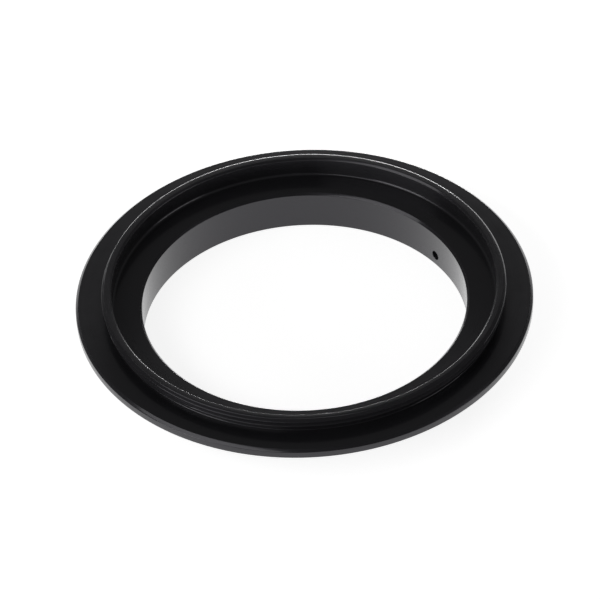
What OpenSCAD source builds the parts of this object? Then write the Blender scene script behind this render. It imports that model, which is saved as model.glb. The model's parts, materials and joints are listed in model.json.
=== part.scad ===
// Reverse macro adapter: a ring that holds a lens back to front on a camera.
// The outside thread screws into the lens's filter thread, and the bayonet goes into the camera.
// The origin is the middle of the face that seats on the camera, and +Z points at the lens.

/* [Flange] */
// Outside diameter of the flange
flange_d = 65.6; // [64:0.1:72]
// Thickness of the flange
flange_t = 1.45; // [1.3:0.05:2.5]
// Bevel on the flange's upper edge
flange_bevel = 0.4; // [0.1:0.05:0.6]
// Bevel on the flange's under edge
under_bevel = 0.1; // [0.05:0.05:0.3]

/* [Threaded collar] */
// Crest diameter of the lens thread
thread_d = 58; // [57:0.5:60]
// Distance from one turn of the thread to the next
thread_pitch = 0.75; // [0.5:0.05:1]
// Direction in which the thread's groove begins, in degrees from +X
thread_start_a = 90; // [0:1:359]
// Height of the collar above the flange
collar_h = 2.34; // [2.3:0.01:5]
// Thickness of the collar from the thread's crest to its smooth inside
collar_wall = 1.4; // [1:0.05:2]
// Lead-in bevel at the top of the thread
thread_bevel = 0.3; // [0.1:0.05:0.5]
// Bevel on the collar's inside edge
collar_bevel = 0.25; // [0.1:0.05:0.6]
// How much taller the turned relief under the thread is than the thread's groove
relief_margin = 0.1; // [0.08:0.01:0.3]
// Depth of the relief below the thread's root
relief_under_root = 0.12; // [0.03:0.01:0.15]

/* [Recess and bore] */
// Depth of the recess floor below the flange's upper face
recess_drop = 0.56; // [0.2:0.01:0.8]
// Radius of the corner between the recess floor and the collar
corner_r = 0.4; // [0.1:0.05:0.5]
// Diameter of the clear bore
bore_d = 46.6; // [44:0.1:48]
// Bevel at the bore's mouth in the recess
bore_bevel = 0.35; // [0.1:0.05:0.6]

/* [Bayonet tube and lugs] */
// Height of the tube below the seating face
tube_h = 5.25; // [4.9:0.05:6]
// Wall of the tube
tube_wall = 2; // [1.4:0.05:2.2]
// Bevel on both edges of the tube's end
tube_bevel = 0.15; // [0.05:0.05:0.3]
// Number of lugs
lug_count = 3; // [2:1:4]
// Distance from the seating face to the lugs
lug_drop = 3.2; // [2.8:0.05:3.4]
// Thickness of a lug
lug_t = 1.4; // [1:0.05:1.6]
// How far a lug stands out of the tube
lug_reach = 1.6; // [1.2:0.05:1.8]
// Bevel on a lug's outside edges
lug_bevel = 0.2; // [0.05:0.05:0.4]
// Angle that a lug covers
lug_a = 56; // [40:1:58]
// Extra angle of the one wide lug, which lets the bayonet in one way round only
key_extra_a = 5; // [0:1:6]
// Length of the ramp at a lug's leading end
ramp_l = 4; // [2:0.1:8]
// Depth of that ramp
ramp_drop = 0.4; // [0.2:0.05:0.8]

/* [Stop screw] */
// Direction of the stop screw, in degrees from +X
stop_a = 34.5; // [0:0.1:359.9]
// Diameter of the stop screw
stop_d = 1.35; // [1:0.05:1.6]
// Radial clearance of the screw in its hole
stop_fit = 0.02; // [0.01:0.01:0.05]
// Height of the screw's axis above the tube's end
stop_up = 1.85; // [1.6:0.05:2.2]
// How deep the screw's point lies under the wall of the bore
stop_sunk = 0.5; // [0.3:0.05:0.8]
// How far the screw's head stays inside the lugs' reach
stop_shy = 0.3; // [0.1:0.05:0.6]
// Gap between the screw and the end of the lug beside it
stop_gap = 0.25; // [0.1:0.05:0.5]
// Bevel on the screw's ends
screw_bevel = 0.12; // [0.05:0.01:0.25]
// Width of the screw's slot
slot_w = 0.3; // [0.2:0.05:0.4]
// Depth of the screw's slot
slot_deep = 0.45; // [0.3:0.05:0.6]

/* [Seating face] */
// Diameter of the blind hole for the camera's lock pin
lock_d = 3; // [2:0.1:3.4]
// Depth of the lock-pin hole
lock_deep = 0.95; // [0.6:0.05:1.1]
// Distance from the axis to the lock-pin hole and the index mark
lock_r = 29.7; // [29:0.1:30.5]
// Direction of the lock-pin hole, in degrees from +X
lock_a = 185; // [0:1:359]
// Diameter of the index mark, a shallow round dimple
index_d = 1.8; // [1:0.1:2.5]
// Depth of the index mark
index_deep = 0.3; // [0.1:0.05:0.4]
// Direction of the index mark, in degrees from +X
index_a = 65; // [0:1:359]

/* [Hidden] */
$fn = 144;

// Cuts run this far past the face that they open
past = 1;

// Radii
flange_r = flange_d / 2;
thread_r = thread_d / 2;
recess_r = thread_r - collar_wall;
bore_r = bore_d / 2;
tube_r = bore_r + tube_wall;
lug_r = tube_r + lug_reach;
stop_r = stop_d / 2;

// Metric thread form: flanks at 30 degrees, the crest an eighth of the pitch wide
flank_a = 30;
crest_w = thread_pitch / 8;
groove_depth = 0.6134 * thread_pitch;
groove_mouth = thread_pitch - crest_w;
groove_floor = groove_mouth - 2 * groove_depth * tan(flank_a);
root_r = thread_r - groove_depth;

// Relief under the thread, with a shoulder as steep as the thread's flanks
relief_h = groove_mouth + relief_margin;
relief_r = root_r - relief_under_root;
shoulder_h = (thread_r - relief_r) * tan(flank_a);

// Heights from the seating face
collar_top = flange_t + collar_h;
floor_z = flange_t - recess_drop;
stop_z = stop_up - tube_h;

// The thread's cutter begins in the relief and leaves through the collar's top.
// It stands proud of the crest by less than would make its turns meet.
cutter_proud = 0.3 * crest_w / tan(flank_a);
cutter_w = groove_mouth + 2 * cutter_proud * tan(flank_a);
cutter_z = flange_t + relief_h / 2;
cutter_rise = collar_top - cutter_z + cutter_w;
steps_per_turn = 96;

// The screw stands behind the trailing end of the wide lug, and the other lugs follow evenly
stop_clear_a = asin((stop_r + stop_gap) / tube_r);
wide_lug_a = lug_a + key_extra_a;
wide_lug_start = stop_a - stop_clear_a - wide_lug_a;

// Half section of the turned blank, from the bore outward
module ring_section() {
    polygon([
        [bore_r, tube_bevel - tube_h],
        [bore_r, floor_z - bore_bevel],
        [bore_r + bore_bevel, floor_z],
        [recess_r, floor_z],
        [recess_r, collar_top - collar_bevel],
        [recess_r + collar_bevel, collar_top],
        [thread_r - thread_bevel, collar_top],
        [thread_r, collar_top - thread_bevel],
        [thread_r, flange_t + relief_h + shoulder_h],
        [relief_r, flange_t + relief_h],
        [relief_r, flange_t],
        [flange_r - flange_bevel, flange_t],
        [flange_r, flange_t - flange_bevel],
        [flange_r, under_bevel],
        [flange_r - under_bevel, 0],
        [tube_r, 0],
        [tube_r, tube_bevel - tube_h],
        [tube_r - tube_bevel, -tube_h],
        [bore_r + tube_bevel, -tube_h]
    ]);
    recess_corner();
}

// Rounded corner where the recess floor meets the collar
module recess_corner() {
    translate([recess_r - corner_r, floor_z])
        difference() {
            square(corner_r);
            translate([0, corner_r])
                circle(corner_r);
        }
}

// Half section of a lug, rooted in the middle of the tube's wall
module lug_section() {
    root = tube_r - tube_wall / 2;
    polygon([
        [root, -lug_drop],
        [lug_r - lug_bevel, -lug_drop],
        [lug_r, -lug_drop - lug_bevel],
        [lug_r, lug_bevel - lug_drop - lug_t],
        [lug_r - lug_bevel, -lug_drop - lug_t],
        [root, -lug_drop - lug_t]
    ]);
}

// A lug that starts on +X, with a ramp milled into the upper face of that end
module lug(angle) {
    difference() {
        rotate_extrude(angle = angle)
            lug_section();
        rotate([90, 0, 90])
            linear_extrude(lug_r + past)
                polygon([
                    [-past, -lug_drop - ramp_drop * (1 + past / ramp_l)],
                    [ramp_l * 2, ramp_drop - lug_drop],
                    [-past, ramp_drop - lug_drop]
                ]);
    }
}

// The V groove between the thread's turns: one section carried up a right-hand helix
module thread_cutter() {
    section = [
        [root_r, -groove_floor / 2],
        [thread_r + cutter_proud, -cutter_w / 2],
        [thread_r + cutter_proud, cutter_w / 2],
        [root_r, groove_floor / 2]
    ];
    corners = len(section);
    steps = ceil(cutter_rise / thread_pitch * steps_per_turn);
    points = [
        for (i = [0:steps], p = section)
            let (a = thread_start_a + i * 360 / steps_per_turn)
                [p.x * cos(a), p.x * sin(a), cutter_z + p.y + i * thread_pitch / steps_per_turn]
    ];
    sides = [
        for (i = [0:steps - 1], j = [0:corners - 1])
            let (k = (j + 1) % corners, low = i * corners, high = low + corners)
                [high + j, high + k, low + k, low + j]
    ];
    first_end = [for (j = [0:corners - 1]) corners - 1 - j];
    last_end = [for (j = [0:corners - 1]) steps * corners + j];
    polyhedron(points, concat(sides, [first_end, last_end]), convexity = 10);
}

// Straight hole for the stop screw, through the tube's wall
module stop_hole() {
    rotate([0, 0, stop_a])
        translate([bore_r - past, 0, stop_z])
            rotate([0, 90, 0])
                cylinder(r = stop_r + stop_fit, h = tube_wall + 2 * past);
}

// Blind hole in the seating face for the camera's lock pin
module lock_hole() {
    rotate([0, 0, lock_a])
        translate([lock_r, 0, -past])
            cylinder(d = lock_d, h = lock_deep + past);
}

// Shallow dimple in the seating face that shows how the bayonet goes in
module index_mark() {
    ball_r = (pow(index_d / 2, 2) + pow(index_deep, 2)) / (2 * index_deep);
    rotate([0, 0, index_a])
        translate([lock_r, 0, index_deep - ball_r])
            sphere(ball_r);
}

module adapter_ring() {
    color([0.07, 0.07, 0.08])
        difference() {
            union() {
                rotate_extrude()
                    ring_section();
                for (i = [0:lug_count - 1])
                    rotate([0, 0, wide_lug_start + (i == 0 ? 0 : key_extra_a / 2) + i * 360 / lug_count])
                        lug(i == 0 ? wide_lug_a : lug_a);
            }
            thread_cutter();
            stop_hole();
            lock_hole();
            index_mark();
        }
}

// Slotted set screw: its point lies under the bore's wall, its head stands between two lugs
module stop_screw() {
    screw_l = tube_wall - stop_sunk + lug_reach - stop_shy;
    color([0.16, 0.16, 0.17])
        rotate([0, 0, stop_a])
            translate([bore_r + stop_sunk, 0, stop_z])
                rotate([0, 90, 0])
                    difference() {
                        rotate_extrude($fn = 48)
                            polygon([
                                [0, 0],
                                [stop_r - screw_bevel, 0],
                                [stop_r, screw_bevel],
                                [stop_r, screw_l - screw_bevel],
                                [stop_r - screw_bevel, screw_l],
                                [0, screw_l]
                            ]);
                        translate([-past, -slot_w / 2, screw_l - slot_deep])
                            cube([2 * past, slot_w, slot_deep + past]);
                    }
}

adapter_ring();
stop_screw();
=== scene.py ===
"""Looks of the reverse macro adapter: a finely meshed ring, finishes, floor, lamps and camera."""
import json
import math

import bpy
from mathutils import Matrix, Vector


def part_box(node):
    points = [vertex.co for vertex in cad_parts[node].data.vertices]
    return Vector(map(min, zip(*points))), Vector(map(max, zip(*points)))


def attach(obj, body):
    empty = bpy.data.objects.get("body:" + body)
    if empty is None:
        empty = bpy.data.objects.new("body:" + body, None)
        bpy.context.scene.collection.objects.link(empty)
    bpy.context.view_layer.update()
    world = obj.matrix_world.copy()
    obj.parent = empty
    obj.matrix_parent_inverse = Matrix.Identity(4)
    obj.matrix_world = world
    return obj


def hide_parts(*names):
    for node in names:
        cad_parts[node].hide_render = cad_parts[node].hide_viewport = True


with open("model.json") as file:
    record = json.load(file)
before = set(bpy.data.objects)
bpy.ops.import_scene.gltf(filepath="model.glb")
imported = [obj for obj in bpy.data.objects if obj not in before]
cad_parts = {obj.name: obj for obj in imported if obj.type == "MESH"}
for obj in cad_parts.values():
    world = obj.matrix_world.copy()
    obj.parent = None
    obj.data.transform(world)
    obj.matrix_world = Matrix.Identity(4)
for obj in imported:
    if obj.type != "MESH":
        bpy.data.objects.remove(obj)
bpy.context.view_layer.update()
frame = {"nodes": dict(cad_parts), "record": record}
MM = 0.001

# Sizes are in millimetres, with the middle of the seating face at the origin.
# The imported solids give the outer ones, and the record's mounts give the thread and the holes.
# The others repeat the part's source.
MOUNTS = {mount["name"]: mount for mount in frame["record"]["mounts"]}
RING_LOW, RING_HIGH = (Vector(corner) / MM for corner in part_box("adapter_ring"))
FLANGE_R = RING_HIGH.x
COLLAR_TOP = RING_HIGH.z
TUBE_END = RING_LOW.z
THREAD_R = MOUNTS["lens_thread"]["dims"]["r_mm"]
BORE_R = MOUNTS["clear_bore"]["dims"]["r_mm"]
LOCK_PIN_R = MOUNTS["lock_pin_hole"]["dims"]["r_mm"]
LOCK_PIN_DEEP = MOUNTS["lock_pin_hole"]["dims"]["length_mm"]
LOCK_PIN_AT = Vector(MOUNTS["lock_pin_hole"]["pos_m"]) / MM

# Flange, collar and recess
FLANGE_TOP = 1.45
FLANGE_BEVEL = 0.4
UNDER_BEVEL = 0.1
COLLAR_WALL = 1.4
COLLAR_BEVEL = 0.25
RECESS_R = THREAD_R - COLLAR_WALL
RECESS_DROP = 0.56
RECESS_FLOOR = FLANGE_TOP - RECESS_DROP
RECESS_CORNER = 0.4
BORE_BEVEL = 0.35

# Lens thread of metric form: its crest is an eighth of the pitch wide
PITCH = 0.75
FLANK = math.radians(30)
THREAD_BEVEL = 0.3
THREAD_START = math.radians(90)
GROOVE_DEPTH = 0.6134 * PITCH
GROOVE_MOUTH = PITCH * 7 / 8
ROOT_R = THREAD_R - GROOVE_DEPTH
GROOVE_FLOOR = GROOVE_MOUTH - 2 * (THREAD_R - ROOT_R) * math.tan(FLANK)

# Turned relief under the thread, in whose middle the groove starts
RELIEF_UNDER_ROOT = 0.12
RELIEF_MARGIN = 0.1
RELIEF_R = ROOT_R - RELIEF_UNDER_ROOT
RELIEF_TOP = FLANGE_TOP + GROOVE_MOUTH + RELIEF_MARGIN
GROOVE_Z = (FLANGE_TOP + RELIEF_TOP) / 2

# Bayonet tube
TUBE_WALL = 2
TUBE_R = BORE_R + TUBE_WALL
TUBE_BEVEL = 0.15

# Lugs, from and to an angle in degrees; the ramps are at the ends that turn into the mount first
LUG_SPANS = [(-28.6, 32.4), (93.9, 149.9), (213.9, 269.9)]
LUG_REACH = 1.6
LUG_R = TUBE_R + LUG_REACH
LUG_TOP, LUG_LOW = -3.2, -4.6
LUG_BEVEL = 0.2
RAMP_LENGTH, RAMP_DROP = 4, 0.4

# Stop screw's hole
STOP_ANGLE = math.radians(34.5)
STOP_HOLE_R = 0.695
STOP_Z = -3.4

# Index mark, as far from the axis as the lock pin's hole
INDEX_ANGLE = math.radians(65)
INDEX_OUT = LOCK_PIN_AT.xy.length
INDEX_AT = Vector((INDEX_OUT * math.cos(INDEX_ANGLE), INDEX_OUT * math.sin(INDEX_ANGLE), 0))
INDEX_R = 0.9
INDEX_DEEP = 0.3

# Detail of the ring's mesh: its broken edges, and how finely it is divided
EDGE = 0.05
RIM_ROUND = 0.12
RELIEF_CORNER = 0.12
ROUND_STEPS = 4
COLUMNS = 480

# Soft boxes, all at one distance in metres from the ring
LAMP_DISTANCE = 0.6
# Name, azimuth and elevation in degrees, width and height in metres, power in watts
LAMPS = [
    ("back_right", 85, 5, 0.26, 0.08, 2),
    ("back_left", 106, 5, 0.18, 0.08, 0.5),
    ("left_low", 213, 10, 0.3, 0.2, 0.85),
    ("left_high", 217, 40, 0.66, 0.2, 0.7),
    ("right_side", 340, 14, 0.3, 0.2, 0.32),
]


def line_to(a, b, steps):
    """Even steps from a to b, with b itself left out."""
    return [a + (b - a) * i / steps for i in range(steps)]


def rounded(corners):
    """Points along a line of (r, z, rounding) corners, whose two ends are kept sharp."""
    points = [corners[0][:2]]
    for before, here, after in zip(corners, corners[1:], corners[2:]):
        corner = Vector(here[:2])
        start = corner + (Vector(before[:2]) - corner).normalized() * here[2]
        end = corner + (Vector(after[:2]) - corner).normalized() * here[2]
        for i in range(ROUND_STEPS + 1):
            t = i / ROUND_STEPS
            points.append(start * (1 - t) ** 2 + corner * 2 * t * (1 - t) + end * t ** 2)
    points.append(corners[-1][:2])
    return [tuple(point) for point in points]


def turned(r, angle, z):
    """The place at a radius, an angle and a height."""
    return (r * math.cos(angle), r * math.sin(angle), z)


def new_object(name, points, faces):
    """A mesh object from points in millimetres."""
    mesh = bpy.data.meshes.new(name)
    mesh.from_pydata([Vector(point) * MM for point in points], [], faces)
    mesh.update()
    thing = bpy.data.objects.new(name, mesh)
    bpy.context.collection.objects.link(thing)
    return thing


def soft_min(a, b, reach=0.03):
    """The lesser of two numbers, blended where they are close."""
    near = max(reach - abs(a - b), 0) / reach
    return min(a, b) - near * near * reach / 4


def thread_radius(angle, z):
    """Radius of the collar's outside: the turned blank, with the helical V groove cut into it."""
    turns = (z - GROOVE_Z) / PITCH - (angle - THREAD_START) / math.tau
    across = abs(turns - round(turns)) * PITCH
    groove = ROOT_R + max(across - GROOVE_FLOOR / 2, 0) / math.tan(FLANK)
    shoulder = RELIEF_R + (z - RELIEF_TOP) / math.tan(FLANK)
    bevel = THREAD_R - (z - COLLAR_TOP + THREAD_BEVEL)
    blank = soft_min(soft_min(THREAD_R, shoulder), bevel)
    return -soft_min(-soft_min(blank, groove), -RELIEF_R)


def thread_phases():
    """Parts of a pitch at which the thread has a row of points, with two close rows at each corner."""
    floor, mouth, near = GROOVE_FLOOR / 2 / PITCH, GROOVE_MOUTH / 2 / PITCH, 0.02
    flank_steps, flat_steps = 4, 2
    return (
        line_to(-mouth + near, -floor - near, flank_steps) + [-floor - near]
        + line_to(-floor + near, floor - near, flat_steps) + [floor - near]
        + line_to(floor + near, mouth - near, flank_steps) + [mouth - near]
        + line_to(mouth + near, 1 - mouth - near, flat_steps) + [1 - mouth - near]
    )


def blank_section(relief_z, flat_end):
    """Half section of the turned blank, from the relief out round the tube and up to the collar's top."""
    return rounded([
        (RELIEF_R, relief_z, 0),
        (RELIEF_R, FLANGE_TOP, RELIEF_CORNER),
        (FLANGE_R - FLANGE_BEVEL, FLANGE_TOP, EDGE),
        (FLANGE_R, FLANGE_TOP - FLANGE_BEVEL, EDGE),
        (FLANGE_R, UNDER_BEVEL, EDGE / 2),
        (FLANGE_R - UNDER_BEVEL, 0, EDGE / 2),
        (TUBE_R, 0, EDGE),
        (TUBE_R, TUBE_END + TUBE_BEVEL, EDGE),
        (TUBE_R - TUBE_BEVEL, TUBE_END, EDGE),
        (BORE_R + TUBE_BEVEL, TUBE_END, EDGE),
        (BORE_R, TUBE_END + TUBE_BEVEL, EDGE),
        (BORE_R, RECESS_FLOOR - BORE_BEVEL, EDGE),
        (BORE_R + BORE_BEVEL, RECESS_FLOOR, EDGE),
        (RECESS_R, RECESS_FLOOR, RECESS_CORNER),
        (RECESS_R, COLLAR_TOP - COLLAR_BEVEL, EDGE),
        (RECESS_R + COLLAR_BEVEL, COLLAR_TOP, EDGE / 2),
        (flat_end, COLLAR_TOP, 0),
    ])


def ring_blank():
    """The ring without its lugs and holes: a turned section, closed by rows that climb with the thread."""
    # The rows stay a bit more than a rounding away from the flange and the rim
    away = 1.2
    low = FLANGE_TOP + away * RELIEF_CORNER
    high = COLLAR_TOP - away * RIM_ROUND
    # The collar's flat top ends well inside the thread's root
    flat_end = ROOT_R - 3 * RIM_ROUND
    section = blank_section(low, flat_end)
    points, faces = [], []
    angles = [math.tau * i / COLUMNS for i in range(COLUMNS)]
    # Rings of points, first those of the section and then those of the rounded rim
    rings = len(section) + ROUND_STEPS + 2
    for angle in angles:
        points += [turned(r, angle, z) for r, z in section]
        # The collar's top edge follows the thread where the groove runs out through it
        rim = (thread_radius(angle, COLLAR_TOP), COLLAR_TOP, RIM_ROUND)
        edge = rounded([(flat_end, COLLAR_TOP, 0), rim, (thread_radius(angle, high), high, 0)])
        points += [turned(r, angle, z) for r, z in edge[1:]]
    for i in range(COLUMNS):
        here, ahead = i * rings, (i + 1) % COLUMNS * rings
        faces += [(here + j, here + j + 1, ahead + j + 1, ahead + j) for j in range(rings - 1)]

    phases = thread_phases()
    first_turn = math.floor((low - GROOVE_Z) / PITCH) - 1
    turns = range(first_turn, math.ceil((high - GROOVE_Z) / PITCH) + 2)
    rows = [turn + phase for turn in turns for phase in phases]

    def row_height(row, angle):
        return GROOVE_Z + PITCH * (rows[row] + (angle - THREAD_START) / math.tau)

    # The points of the rows that lie on the thread, by column and row
    own = {}
    for i, angle in enumerate(angles):
        for row in range(len(rows)):
            z = row_height(row, angle)
            if low < z < high:
                own[i, row] = len(points)
                points.append(turned(thread_radius(angle, z), angle, z))

    def vertex(i, row):
        """A row's point in a column, or the section's own end where the row has left the thread."""
        if i == COLUMNS:
            i, row = 0, row + len(phases)
        if (i, row) in own:
            return own[i, row]
        above = row >= len(rows) or row_height(row, angles[i]) >= high
        return i * rings + (rings - 1 if above else 0)

    for i in range(COLUMNS):
        for row in range(len(rows) - len(phases) - 1):
            around = [vertex(i, row), vertex(i + 1, row), vertex(i + 1, row + 1), vertex(i, row + 1)]
            face = [v for n, v in enumerate(around) if v != around[n - 1]]
            if len(face) > 2:
                faces.append(face)
    return new_object("ring_body", points, faces)


def lug(first, last):
    """Points and faces of a lug between two angles, with a ramp on the upper face at its first end."""
    root = (BORE_R + TUBE_R) / 2
    section = rounded([
        (root, LUG_TOP, 0),
        (LUG_R - LUG_BEVEL, LUG_TOP, EDGE),
        (LUG_R, LUG_TOP - LUG_BEVEL, EDGE),
        (LUG_R, LUG_LOW + LUG_BEVEL, EDGE),
        (LUG_R - LUG_BEVEL, LUG_LOW, EDGE),
        (root, LUG_LOW, 0),
    ])
    corners = len(section)
    inner, steps = EDGE / LUG_R, round((last - first) / math.tau * COLUMNS)
    angles = [first] + line_to(first + inner, last - inner, steps) + [last - inner, last]
    points = []
    for angle in angles:
        # The two ends of the lug have their edges broken as well
        shy = EDGE if angle in (first, last) else 0
        for r, z in section:
            r = min(r, LUG_R - shy)
            ramp = RAMP_DROP * max(1 - r * math.sin(angle - first) / RAMP_LENGTH, 0)
            points.append(turned(r, angle, max(min(z, LUG_TOP - shy - ramp), LUG_LOW + shy)))
    faces = [tuple(reversed(range(corners))), tuple(range(len(points) - corners, len(points)))]
    for here in range(0, len(points) - corners, corners):
        for j in range(corners):
            k = (j + 1) % corners
            faces.append((here + j, here + k, here + corners + k, here + corners + j))
    return points, faces


def spun(section, place, steps=64):
    """Points and faces of a turned plug whose (r, height) section runs from its top to its bottom."""
    points = []
    for i in range(steps):
        # Half a step round, so that no corner of the plug lands on an edge of the ring
        points += [place @ Vector(turned(r, math.tau * (i + 0.5) / steps, z)) for r, z in section]
    rings = len(section)
    faces = [tuple(range(0, len(points), rings)), tuple(range(len(points) - 1, 0, -rings))]
    for here in range(0, len(points), rings):
        ahead = (here + rings) % len(points)
        faces += [(here + j, here + j + 1, ahead + j + 1, ahead + j) for j in range(rings - 1)]
    return points, faces


def hole_plugs():
    """Plugs that cut the lock-pin hole, the index mark and the stop screw's hole."""
    # Each plug stands this far out of the face that it opens, and the holes' mouths have broken edges
    out = 1
    lock = [
        (LOCK_PIN_R, LOCK_PIN_DEEP),
        (LOCK_PIN_R, EDGE),
        (LOCK_PIN_R + EDGE, 0),
        (LOCK_PIN_R + EDGE, -out),
    ]
    # The index mark is the cap of a ball, and a small flat takes the place of the cap's middle point
    ball_r = (INDEX_R ** 2 + INDEX_DEEP ** 2) / (2 * INDEX_DEEP)
    widest = math.asin(INDEX_R / ball_r)
    cap_steps, flat = 8, 0.2
    cap = [widest * (i + flat) / (cap_steps + flat) for i in range(cap_steps + 1)]
    index = [(ball_r * math.sin(a), INDEX_DEEP - ball_r * (1 - math.cos(a))) for a in cap]
    stop = [
        (STOP_HOLE_R, TUBE_R + out),
        (STOP_HOLE_R, BORE_R + EDGE),
        (STOP_HOLE_R + EDGE, BORE_R),
        (STOP_HOLE_R + EDGE, BORE_R - out),
    ]
    along = Matrix.Rotation(STOP_ANGLE, 4, "Z") @ Matrix.Rotation(math.pi / 2, 4, "Y")
    return [
        spun(lock, Matrix.Translation((LOCK_PIN_AT.x, LOCK_PIN_AT.y, 0))),
        spun(index + [(INDEX_R, -out)], Matrix.Translation(INDEX_AT)),
        spun(stop, Matrix.Translation((0, 0, STOP_Z)) @ along),
    ]


def join_or_cut(body, shells, operation):
    """Adds shells of points and faces to a body, or cuts them out of it."""
    points, faces = [], []
    for shell_points, shell_faces in shells:
        faces += [tuple(v + len(points) for v in face) for face in shell_faces]
        points += shell_points
    tool = new_object("tool", points, faces)
    change = body.modifiers.new("change", "BOOLEAN")
    change.operation, change.solver, change.object = operation, "MANIFOLD", tool
    with bpy.context.temp_override(object=body):
        bpy.ops.object.modifier_apply(modifier=change.name)
    bpy.data.objects.remove(tool)


def make_ring():
    """The ring's finer mesh, which stands for the CAD node."""
    ring = ring_blank()
    lugs = [lug(math.radians(first), math.radians(last)) for first, last in LUG_SPANS]
    join_or_cut(ring, lugs, "UNION")
    join_or_cut(ring, hole_plugs(), "DIFFERENCE")
    ring.data.shade_smooth()
    # Low enough for the index mark's mouth, the bluntest edge that stays crisp
    crisp = math.radians(32)
    ring.data.set_sharp_from_angle(angle=crisp)
    normals = ring.modifiers.new("flat faces stay flat", "WEIGHTED_NORMAL")
    normals.keep_sharp = True
    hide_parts("adapter_ring")
    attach(ring, "root")
    return ring


def new_material(name):
    """A material with an empty node tree."""
    material = bpy.data.materials.new(name)
    material.use_nodes = True
    material.node_tree.nodes.clear()
    return material


def add(material, kind, inputs, **settings):
    """A shader node with its settings; each input is a plain value or another node's output."""
    tree = material.node_tree
    node = tree.nodes.new("ShaderNode" + kind)
    for name, value in settings.items():
        setattr(node, name, value)
    for name, value in inputs.items():
        if isinstance(value, bpy.types.NodeSocket):
            tree.links.new(value, node.inputs[name])
        else:
            node.inputs[name].default_value = value
    return node


def spread(material, value, low, high):
    """A 0 to 1 value brought to another range."""
    return add(material, "MapRange", {"Value": value, "To Min": low, "To Max": high}).outputs["Result"]


def turning_marks(material, place, scale, detail):
    """Rings of noise round the axis, as a turning tool leaves them on flat faces and walls alike."""
    parts = add(material, "SeparateXYZ", {"Vector": place})
    across = add(material, "CombineXYZ", {"X": parts.outputs["X"], "Y": parts.outputs["Y"]})
    radius = add(material, "VectorMath", {0: across.outputs["Vector"]}, operation="LENGTH")
    section = add(material, "CombineXYZ", {"X": radius.outputs["Value"], "Y": parts.outputs["Z"]})
    marks = add(
        material, "TexNoise",
        {"Vector": section.outputs["Vector"], "Scale": scale, "Detail": detail, "Roughness": 0.6},
        noise_dimensions="2D",
    )
    return marks.outputs["Fac"]


def anodised_aluminium():
    """Satin black anodising over turned aluminium, with a dab of paint in the index mark."""
    dark_dye = (0.0115, 0.0113, 0.0125, 1)
    light_dye = (0.0155, 0.0153, 0.017, 1)
    red_paint = (0.45, 0.02, 0.015, 1)
    material = new_material("anodised_aluminium")
    place = add(material, "TexCoord", {}).outputs["Object"]
    marks = turning_marks(material, place, scale=7000, detail=4)
    cloud = add(material, "TexNoise", {"Vector": place, "Scale": 350, "Detail": 3}).outputs["Fac"]
    grain = add(material, "TexNoise", {"Vector": place, "Scale": 30000, "Detail": 2}).outputs["Fac"]

    dye = add(material, "Mix", {"Factor": cloud, "A": dark_dye, "B": light_dye}, data_type="RGBA")
    away = add(material, "VectorMath", {0: place, 1: INDEX_AT * MM}, operation="DISTANCE")
    paint = add(material, "MapRange", {
        "Value": away.outputs["Value"], "From Min": INDEX_R * MM, "From Max": (INDEX_R - EDGE) * MM,
    })
    colour = add(
        material, "Mix",
        {"Factor": paint.outputs["Result"], "A": dye.outputs["Result"], "B": red_paint},
        data_type="RGBA",
    )
    rough = add(material, "Math", {
        0: spread(material, marks, low=0.24, high=0.36), 1: spread(material, cloud, low=-0.03, high=0.03),
    }, operation="ADD")
    turned_bump = add(material, "Bump", {"Height": marks, "Strength": 0.6, "Distance": 2e-6})
    bump = add(material, "Bump", {
        "Height": grain, "Strength": 0.4, "Distance": 4e-7, "Normal": turned_bump.outputs["Normal"],
    })
    round_axis = add(material, "Tangent", {}, direction_type="RADIAL", axis="Z").outputs["Tangent"]
    shader = add(material, "BsdfPrincipled", {
        "Base Color": colour.outputs["Result"],
        "Roughness": rough.outputs["Value"],
        "Normal": bump.outputs["Normal"],
        "Tangent": round_axis,
        "IOR": 1.4,
        "Specular Tint": (0.9, 0.86, 1, 1),
        "Anisotropic": 0.4,
        "Anisotropic Rotation": 0.25,
        "Coat Weight": 0.6,
        "Coat Roughness": 0.12,
        "Coat IOR": 1.5,
        "Coat Normal": bump.outputs["Normal"],
    })
    add(material, "OutputMaterial", {"Surface": shader.outputs["BSDF"]})
    return material


def screw_steel():
    """Uneven black oxide over steel."""
    dark_oxide = (0.02, 0.02, 0.023, 1)
    light_oxide = (0.055, 0.05, 0.047, 1)
    material = new_material("screw_steel")
    place = add(material, "TexCoord", {}).outputs["Object"]
    cloud = add(material, "TexNoise", {"Vector": place, "Scale": 2500, "Detail": 4}).outputs["Fac"]
    grain = add(material, "TexNoise", {"Vector": place, "Scale": 20000, "Detail": 3}).outputs["Fac"]
    oxide = add(material, "Mix", {"Factor": cloud, "A": dark_oxide, "B": light_oxide}, data_type="RGBA")
    bump = add(material, "Bump", {"Height": grain, "Strength": 0.5, "Distance": 1e-6})
    shader = add(material, "BsdfPrincipled", {
        "Base Color": oxide.outputs["Result"],
        "Roughness": spread(material, cloud, low=0.3, high=0.5),
        "Normal": bump.outputs["Normal"],
        "Metallic": 0.8,
    })
    add(material, "OutputMaterial", {"Surface": shader.outputs["BSDF"]})
    return material


def dress(thing, material):
    """Gives a piece one material in place of those it has."""
    thing.data.materials.clear()
    thing.data.materials.append(material)


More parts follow.
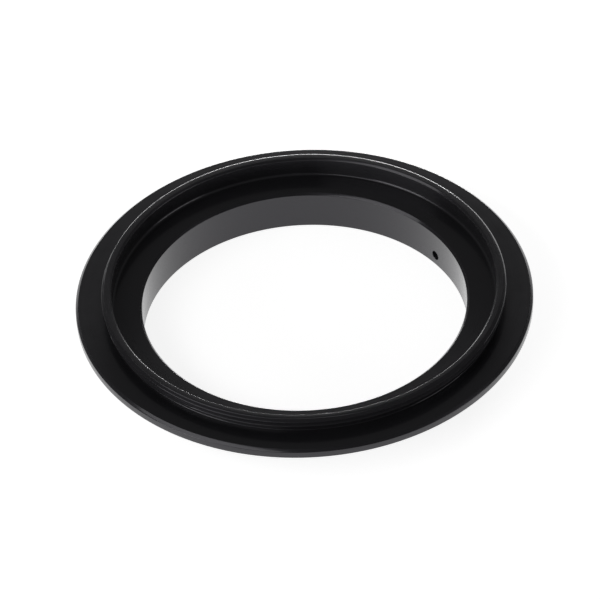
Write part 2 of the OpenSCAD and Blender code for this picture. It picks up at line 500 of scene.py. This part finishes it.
def make_camera():
    """Long lens at the photograph's angle; the ring stands a little tilted to the right in the frame."""
    elevation = math.radians(41.327)
    roll = math.radians(2.944)
    flange_r = FLANGE_R * MM
    distance = 57.5 * flange_r
    px_per_flange_r = 228.993
    photo_w = 600
    # Where the middle of the flange's upper face lies in the photograph, in pixels from its centre
    aim_right_px, aim_up_px = 4.204, 2.192
    right = Vector((1, 0, 0))
    up = Vector((0, math.sin(elevation), math.cos(elevation)))
    forward = Vector((0, math.cos(elevation), -math.sin(elevation)))
    cam_right = right * math.cos(roll) - up * math.sin(roll)
    cam_up = right * math.sin(roll) + up * math.cos(roll)
    m_per_px = flange_r / px_per_flange_r
    place = Vector((0, 0, FLANGE_TOP * MM)) - forward * distance
    place -= (cam_right * aim_right_px + cam_up * aim_up_px) * m_per_px
    data = bpy.data.cameras.new("camera")
    data.sensor_fit = "HORIZONTAL"
    data.sensor_width = 36
    data.lens = data.sensor_width * distance / (m_per_px * photo_w)
    data.clip_start, data.clip_end = 0.1, 20
    camera = bpy.data.objects.new("camera", data)
    camera.matrix_world = Matrix((
        (cam_right.x, cam_up.x, -forward.x, place.x),
        (cam_right.y, cam_up.y, -forward.y, place.y),
        (cam_right.z, cam_up.z, -forward.z, place.z),
        (0, 0, 0, 1),
    ))
    bpy.context.collection.objects.link(camera)
    bpy.context.scene.camera = camera


def make_floor():
    """A pale floor that keeps the ring's shadow, lifted to white where the camera and gloss see it."""
    pale_grey = (0.8, 0.8, 0.8, 1)
    white = (1, 1, 1, 1)
    # How far the lamps' light on the floor falls short of white
    lift_to_white = 0.83
    material = new_material("floor")
    paths = add(material, "LightPath", {}).outputs
    seen = paths["Is Camera Ray"]
    for ray in ("Is Glossy Ray", "Is Transmission Ray"):
        seen = add(material, "Math", {0: seen, 1: paths[ray]}, operation="MAXIMUM").outputs["Value"]
    lift = add(material, "Math", {0: seen, 1: lift_to_white}, operation="MULTIPLY")
    pale = add(material, "BsdfDiffuse", {"Color": pale_grey})
    glow = add(material, "Emission", {"Color": white, "Strength": lift.outputs["Value"]})
    both = add(material, "AddShader", {0: pale.outputs["BSDF"], 1: glow.outputs["Emission"]})
    add(material, "OutputMaterial", {"Surface": both.outputs["Shader"]})
    # It lies a hair under the tube's end, because two faces in one plane would flicker into each other
    hair, radius, steps = 0.01, 1500, 96
    rim = [turned(radius, math.tau * i / steps, TUBE_END - hair) for i in range(steps)]
    floor = new_object("floor", rim, [tuple(range(steps))])
    dress(floor, material)


def soft_lamp(name, azimuth, elevation, width, height, power):
    """A soft box that faces the ring from a direction in degrees; azimuth 270 is the camera's side."""
    a, e = math.radians(azimuth), math.radians(elevation)
    away = Vector((math.cos(a) * math.cos(e), math.sin(a) * math.cos(e), math.sin(e)))
    data = bpy.data.lights.new(name, "AREA")
    data.shape = "RECTANGLE"
    data.size, data.size_y = width, height
    data.energy = power
    lamp = bpy.data.objects.new(name, data)
    lamp.location = away * LAMP_DISTANCE
    lamp.rotation_euler = away.to_track_quat("Z", "Y").to_euler()
    bpy.context.collection.objects.link(lamp)


def make_world(brightness):
    """An even grey world."""
    world = bpy.data.worlds.new("world")
    world.use_nodes = True
    bpy.context.scene.world = world
    colour = world.node_tree.nodes["Background"].inputs["Color"]
    colour.default_value = (brightness, brightness, brightness, 1)


dress(make_ring(), anodised_aluminium())
dress(frame["nodes"]["stop_screw"], screw_steel())
make_floor()
make_world(brightness=0.1)
for settings in LAMPS:
    soft_lamp(*settings)
make_camera()
bpy.context.scene.view_settings.view_transform = "Standard"
